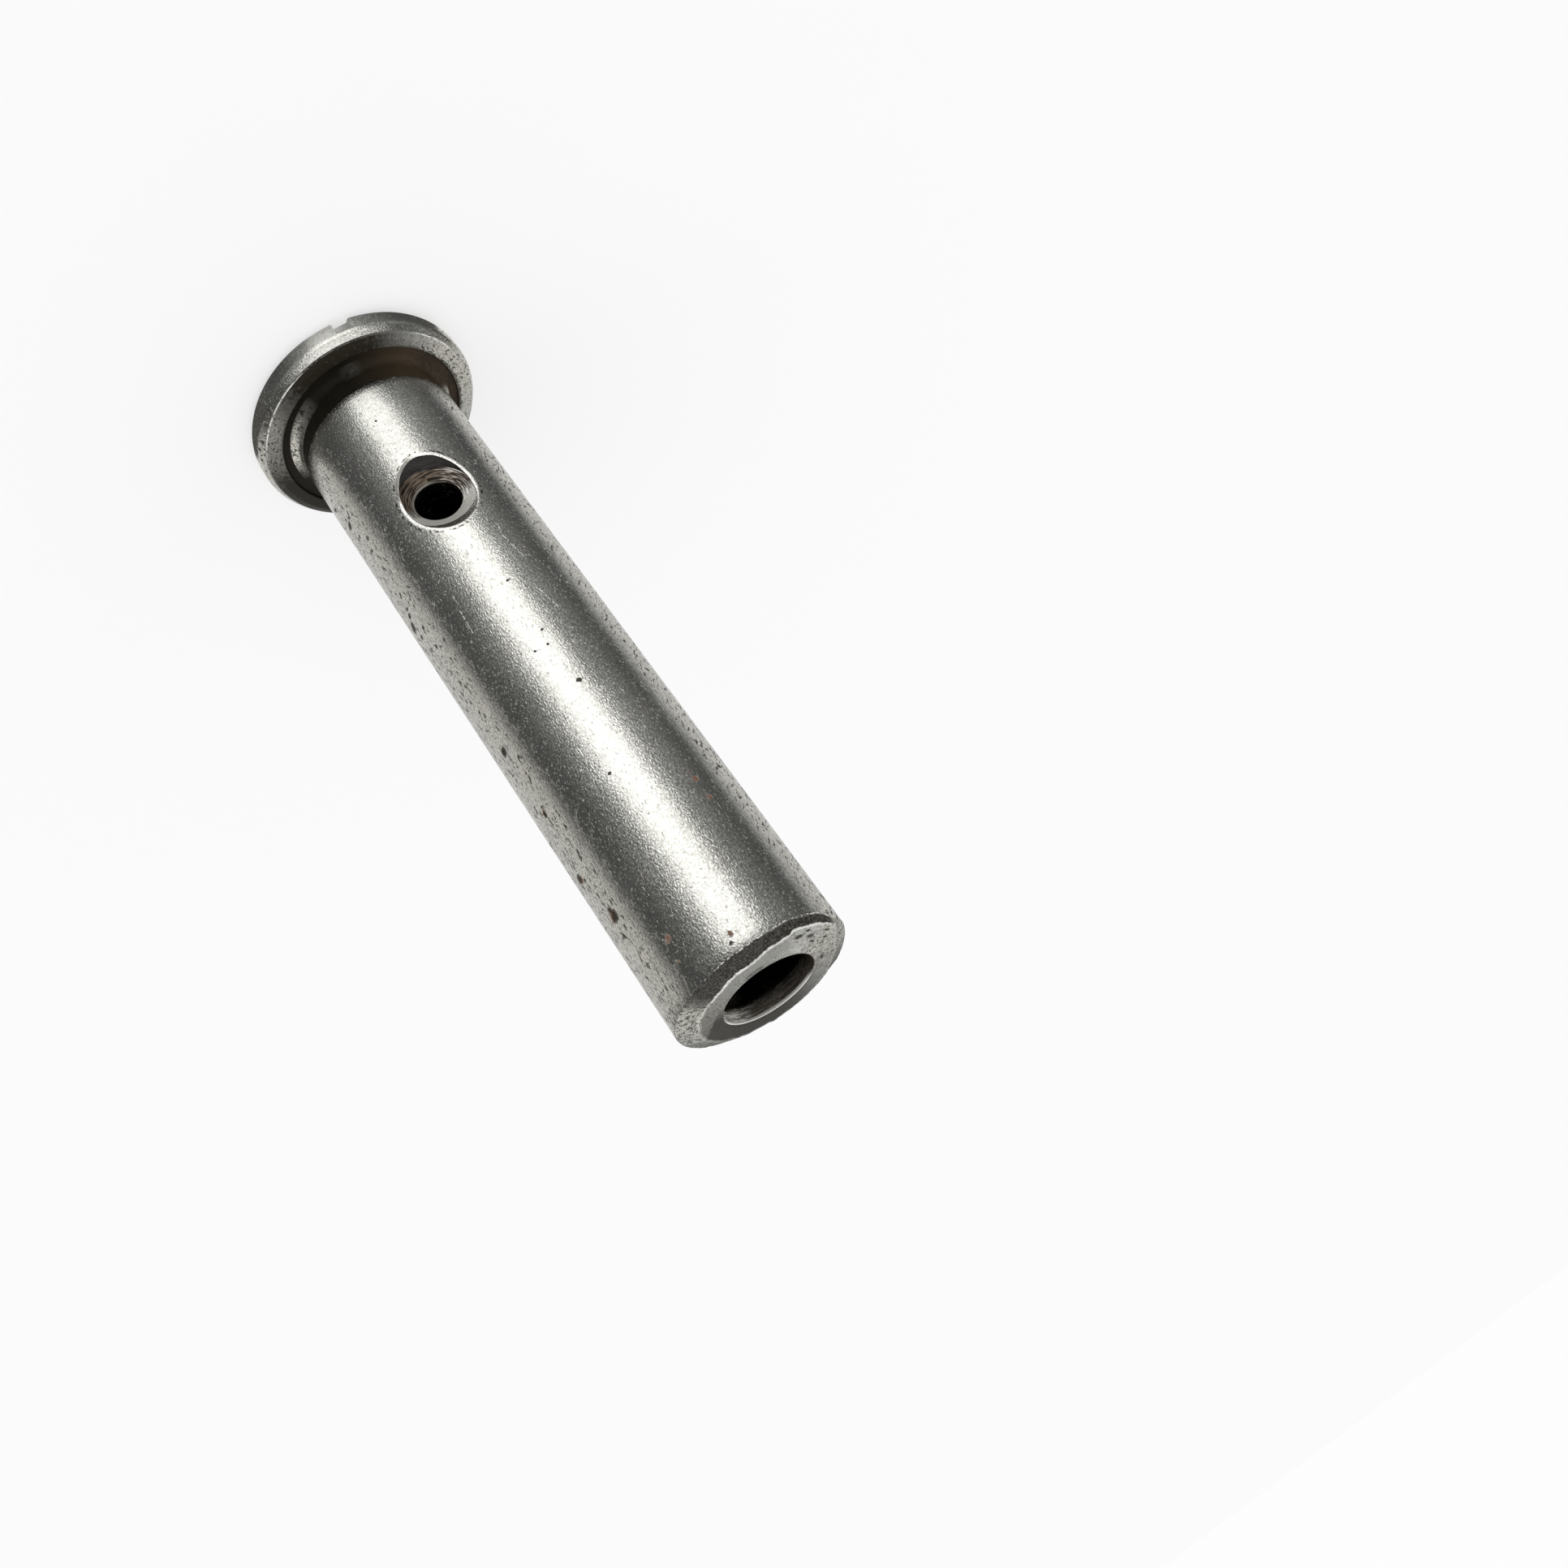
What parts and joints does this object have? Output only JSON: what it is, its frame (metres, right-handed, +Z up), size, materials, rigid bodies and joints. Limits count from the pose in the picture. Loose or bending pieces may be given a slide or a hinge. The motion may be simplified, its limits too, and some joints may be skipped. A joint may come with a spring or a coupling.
{
  "type": "clevis pin",
  "caption": "Headed steel clevis pin with a relief groove under the head, a blind bore in its free end and a countersunk cross hole that meets the bore.",
  "frame": {"origin": "centre of the head's top face, on which the pin stands", "axes": "+Z up the pin's axis to its free end; the countersunk cross hole opens towards -Y"},
  "size_m": [0.029, 0.029, 0.096],
  "materials": {
    "steel": "satin turned steel, oiled and pitted, with a few rust spots"
  },
  "bodies": {
    "root": {"clevis_pin": "steel"}
  },
  "joints": []
}
